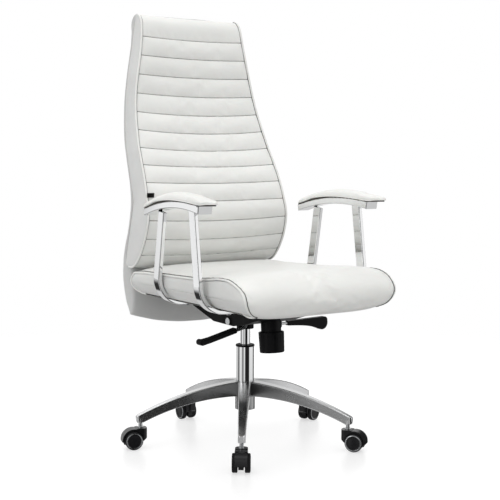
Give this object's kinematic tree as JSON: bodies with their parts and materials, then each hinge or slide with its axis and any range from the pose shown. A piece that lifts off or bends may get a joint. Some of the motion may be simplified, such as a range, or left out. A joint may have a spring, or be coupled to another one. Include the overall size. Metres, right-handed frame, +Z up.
{
  "type": "swivel office chair",
  "caption": "High-backed swivel office chair with a ribbed leather back, padded chrome arms, tilt mechanism, gas lift and a star base on casters.",
  "frame": {"origin": "on the floor, under the axis of the gas lift", "axes": "+Z up, -Y towards the front of the chair, +X to the sitter's left"},
  "size_m": [0.6804, 0.717, 1.2148],
  "materials": {
    "base_metal": "satin",
    "bright_chrome": "polished",
    "machined_steel": "satin",
    "screw_steel": "satin",
    "black_plastic": "matte",
    "caster_plastic": "satin",
    "caster_tyre": "matte",
    "black_rubber": "matte",
    "black_steel": "satin",
    "plywood": "matte",
    "white_leather": "satin",
    "grey_leather": "satin"
  },
  "bodies": {
    "base": {"star_base": "base_metal", "gas_lift_tube": "bright_chrome", "guide_bush": "black_plastic", "thrust_bearing": "machined_steel"},
    "lift_rod": {"piston_rod": "machined_steel", "rod_clip": "machined_steel", "rubber_buffer": "black_rubber"},
    "mechanism": {"gas_cylinder": "bright_chrome", "tilt_yoke": "black_steel"},
    "release_button": {"release_button": "machined_steel"},
    "height_lever": {"height_lever": "machined_steel", "height_lever_grip": "black_plastic"},
    "seat_frame": {"tilt_housing": "black_steel", "pivot_pin": "machined_steel", "spring_cup": "black_steel", "tilt_spring": "machined_steel", "seat_plate": "black_steel", "seat_plate_bolts": "screw_steel", "seat_board": "plywood", "seat_cushion": "white_leather", "back_board": "plywood", "back_bars": "black_steel", "back_cushion": "white_leather", "back_shell": "grey_leather", "arm_frame_left": "bright_chrome", "arm_frame_right": "bright_chrome", "arm_pad_board_left": "plywood", "arm_pad_board_right": "plywood", "arm_pad_left": "white_leather", "arm_pad_right": "white_leather", "arm_screws": "screw_steel"},
    "tension_knob": {"tension_knob": "black_plastic", "tension_bolt": "machined_steel"},
    "tilt_lock_lever": {"tilt_lock_lever": "machined_steel", "tilt_lock_paddle": "black_plastic"},
    "caster_1": {"caster_1_hood": "caster_plastic", "caster_1_stem": "machined_steel", "caster_1_axle": "machined_steel"},
    "caster_1_wheel_left": {"caster_1_wheel_left": "caster_tyre"},
    "caster_1_wheel_right": {"caster_1_wheel_right": "caster_tyre"},
    "caster_2": {"caster_2_hood": "caster_plastic", "caster_2_stem": "machined_steel", "caster_2_axle": "machined_steel"},
    "caster_2_wheel_left": {"caster_2_wheel_left": "caster_tyre"},
    "caster_2_wheel_right": {"caster_2_wheel_right": "caster_tyre"},
    "caster_3": {"caster_3_hood": "caster_plastic", "caster_3_stem": "machined_steel", "caster_3_axle": "machined_steel"},
    "caster_3_wheel_left": {"caster_3_wheel_left": "caster_tyre"},
    "caster_3_wheel_right": {"caster_3_wheel_right": "caster_tyre"},
    "caster_4": {"caster_4_hood": "caster_plastic", "caster_4_stem": "machined_steel", "caster_4_axle": "machined_steel"},
    "caster_4_wheel_left": {"caster_4_wheel_left": "caster_tyre"},
    "caster_4_wheel_right": {"caster_4_wheel_right": "caster_tyre"},
    "caster_5": {"caster_5_hood": "caster_plastic", "caster_5_stem": "machined_steel", "caster_5_axle": "machined_steel"},
    "caster_5_wheel_left": {"caster_5_wheel_left": "caster_tyre"},
    "caster_5_wheel_right": {"caster_5_wheel_right": "caster_tyre"}
  },
  "joints": [
    {"name": "seat_swivel", "type": "hinge", "parent": "base", "child": "lift_rod", "pos_m": [0, 0, 0.104], "axis": [0, 0, 1], "continuous": true},
    {"name": "seat_lift", "type": "slide", "parent": "lift_rod", "child": "mechanism", "axis": [0, 0, 1], "range_m": [0, 0.09]},
    {"name": "seat_tilt", "type": "hinge", "parent": "mechanism", "child": "seat_frame", "pos_m": [0, -0.038, 0.352], "axis": [-1, 0, 0], "range_deg": [0, 12], "stiffness_Nm_per_rad": 250, "springref_deg": -11.46, "deforming": ["tilt_spring"]},
    {"name": "tension_knob_turn", "type": "hinge", "parent": "seat_frame", "child": "tension_knob", "pos_m": [0, -0.124, 0.345], "axis": [0, 0.0872, 0.9962], "range_deg": [-720, 720]},
    {"name": "height_lever_lift", "type": "hinge", "parent": "mechanism", "child": "height_lever", "pos_m": [-0.032, 0, 0.338], "axis": [0, 1, 0], "range_deg": [0, 6], "stiffness_Nm_per_rad": 1, "springref_deg": -11.46},
    {"name": "release_button_press", "type": "slide", "parent": "mechanism", "child": "release_button", "axis": [0, 0, -1], "range_m": [0, 0.0038], "stiffness_N_per_m": 300, "springref_m": -0.002},
    {"name": "tilt_lock_turn", "type": "hinge", "parent": "seat_frame", "child": "tilt_lock_lever", "pos_m": [0.066, -0.06, 0.335], "axis": [1, 0, 0], "range_deg": [-30, 0]},
    {"name": "caster_1_swivel", "type": "hinge", "parent": "base", "child": "caster_1", "pos_m": [0.17634, -0.24271, 0.07], "axis": [0, 0, 1], "continuous": true},
    {"name": "caster_1_wheel_left_spin", "type": "hinge", "parent": "caster_1", "child": "caster_1_wheel_left", "pos_m": [0.18868, -0.25969, 0.025], "axis": [0.809, 0.5878, 0], "continuous": true},
    {"name": "caster_1_wheel_right_spin", "type": "hinge", "parent": "caster_1", "child": "caster_1_wheel_right", "pos_m": [0.18868, -0.25969, 0.025], "axis": [0.809, 0.5878, 0], "continuous": true},
    {"name": "caster_2_swivel", "type": "hinge", "parent": "base", "child": "caster_2", "pos_m": [0.28532, 0.0927, 0.07], "axis": [0, 0, 1], "continuous": true},
    {"name": "caster_2_wheel_left_spin", "type": "hinge", "parent": "caster_2", "child": "caster_2_wheel_left", "pos_m": [0.30529, 0.09919, 0.025], "axis": [-0.309, 0.9511, 0], "continuous": true},
    {"name": "caster_2_wheel_right_spin", "type": "hinge", "parent": "caster_2", "child": "caster_2_wheel_right", "pos_m": [0.30529, 0.09919, 0.025], "axis": [-0.309, 0.9511, 0], "continuous": true},
    {"name": "caster_3_swivel", "type": "hinge", "parent": "base", "child": "caster_3", "pos_m": [0, 0.3, 0.07], "axis": [0, 0, 1], "continuous": true},
    {"name": "caster_3_wheel_left_spin", "type": "hinge", "parent": "caster_3", "child": "caster_3_wheel_left", "pos_m": [0, 0.321, 0.025], "axis": [-1, 0, 0], "continuous": true},
    {"name": "caster_3_wheel_right_spin", "type": "hinge", "parent": "caster_3", "child": "caster_3_wheel_right", "pos_m": [0, 0.321, 0.025], "axis": [-1, 0, 0], "continuous": true},
    {"name": "caster_4_swivel", "type": "hinge", "parent": "base", "child": "caster_4", "pos_m": [-0.28532, 0.0927, 0.07], "axis": [0, 0, 1], "continuous": true},
    {"name": "caster_4_wheel_left_spin", "type": "hinge", "parent": "caster_4", "child": "caster_4_wheel_left", "pos_m": [-0.30529, 0.09919, 0.025], "axis": [-0.309, -0.9511, 0], "continuous": true},
    {"name": "caster_4_wheel_right_spin", "type": "hinge", "parent": "caster_4", "child": "caster_4_wheel_right", "pos_m": [-0.30529, 0.09919, 0.025], "axis": [-0.309, -0.9511, 0], "continuous": true},
    {"name": "caster_5_swivel", "type": "hinge", "parent": "base", "child": "caster_5", "pos_m": [-0.17634, -0.24271, 0.07], "axis": [0, 0, 1], "continuous": true},
    {"name": "caster_5_wheel_left_spin", "type": "hinge", "parent": "caster_5", "child": "caster_5_wheel_left", "pos_m": [-0.18868, -0.25969, 0.025], "axis": [0.809, -0.5878, 0], "continuous": true},
    {"name": "caster_5_wheel_right_spin", "type": "hinge", "parent": "caster_5", "child": "caster_5_wheel_right", "pos_m": [-0.18868, -0.25969, 0.025], "axis": [0.809, -0.5878, 0], "continuous": true}
  ],
  "couplings": [
    {"joint": "release_button_press", "follows": "height_lever_lift", "m_per_rad": 0.0353}
  ]
}
